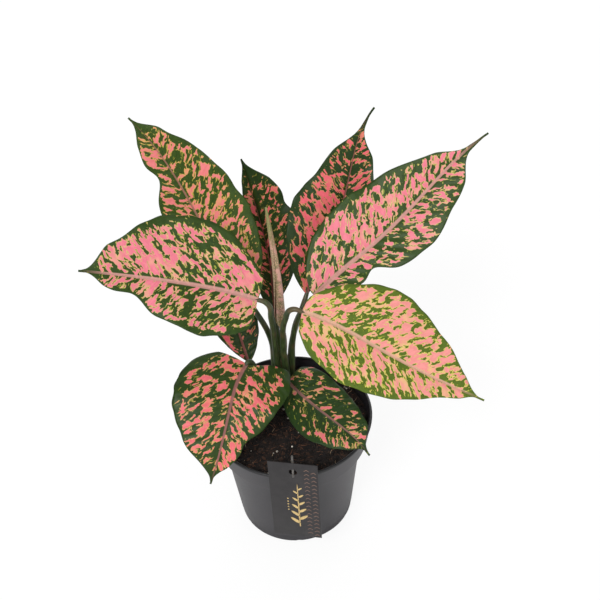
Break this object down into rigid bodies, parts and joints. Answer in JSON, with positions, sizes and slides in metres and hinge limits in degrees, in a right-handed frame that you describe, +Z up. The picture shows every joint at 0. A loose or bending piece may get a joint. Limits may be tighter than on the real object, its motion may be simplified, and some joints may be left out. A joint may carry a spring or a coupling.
{
  "type": "potted chinese evergreen",
  "caption": "Leafy potted houseplant with pink and green mottled leaves on stalks, set in soil in a plain round nursery pot with a hanging label card.",
  "frame": {"origin": "centre of the pot's underside, on the surface that it stands on", "axes": "+Z up along the pot's axis, -Y towards the side where the label card hangs, +X to the right seen from that side"},
  "size_m": [0.2828, 0.1752, 0.2949],
  "materials": {
    "pot_plastic": "satin charcoal nursery pot plastic",
    "potting_soil": "dark fibrous peat with pale perlite grains",
    "stem_green": "smooth olive green stem",
    "petiole_green": "smooth olive green stalk flushed with pink",
    "leaf_blade": "satin leaf mottled pink, cream and dark green",
    "new_leaf": "pale rolled leaf with fine netting",
    "label_card": null,
    "label_pin": "smooth pale plastic"
  },
  "bodies": {
    "root": {"pot": "pot_plastic", "soil": "potting_soil", "stem": "stem_green", "new_leaf": "new_leaf", "label_card": "label_card", "label_pin": "label_pin", "leaf_upper_left": "leaf_blade", "leaf_left": "leaf_blade", "leaf_centre_back": "leaf_blade", "leaf_upper_right": "leaf_blade", "leaf_right_upper": "leaf_blade", "leaf_right_lower": "leaf_blade", "leaf_front_left": "leaf_blade", "leaf_front_right": "leaf_blade", "leaf_back_low": "leaf_blade", "petiole_upper_left": "petiole_green", "petiole_left": "petiole_green", "petiole_centre_back": "petiole_green", "petiole_upper_right": "petiole_green", "petiole_right_upper": "petiole_green", "petiole_right_lower": "petiole_green", "petiole_front_left": "petiole_green", "petiole_front_right": "petiole_green", "petiole_back_low": "petiole_green"}
  },
  "joints": []
}
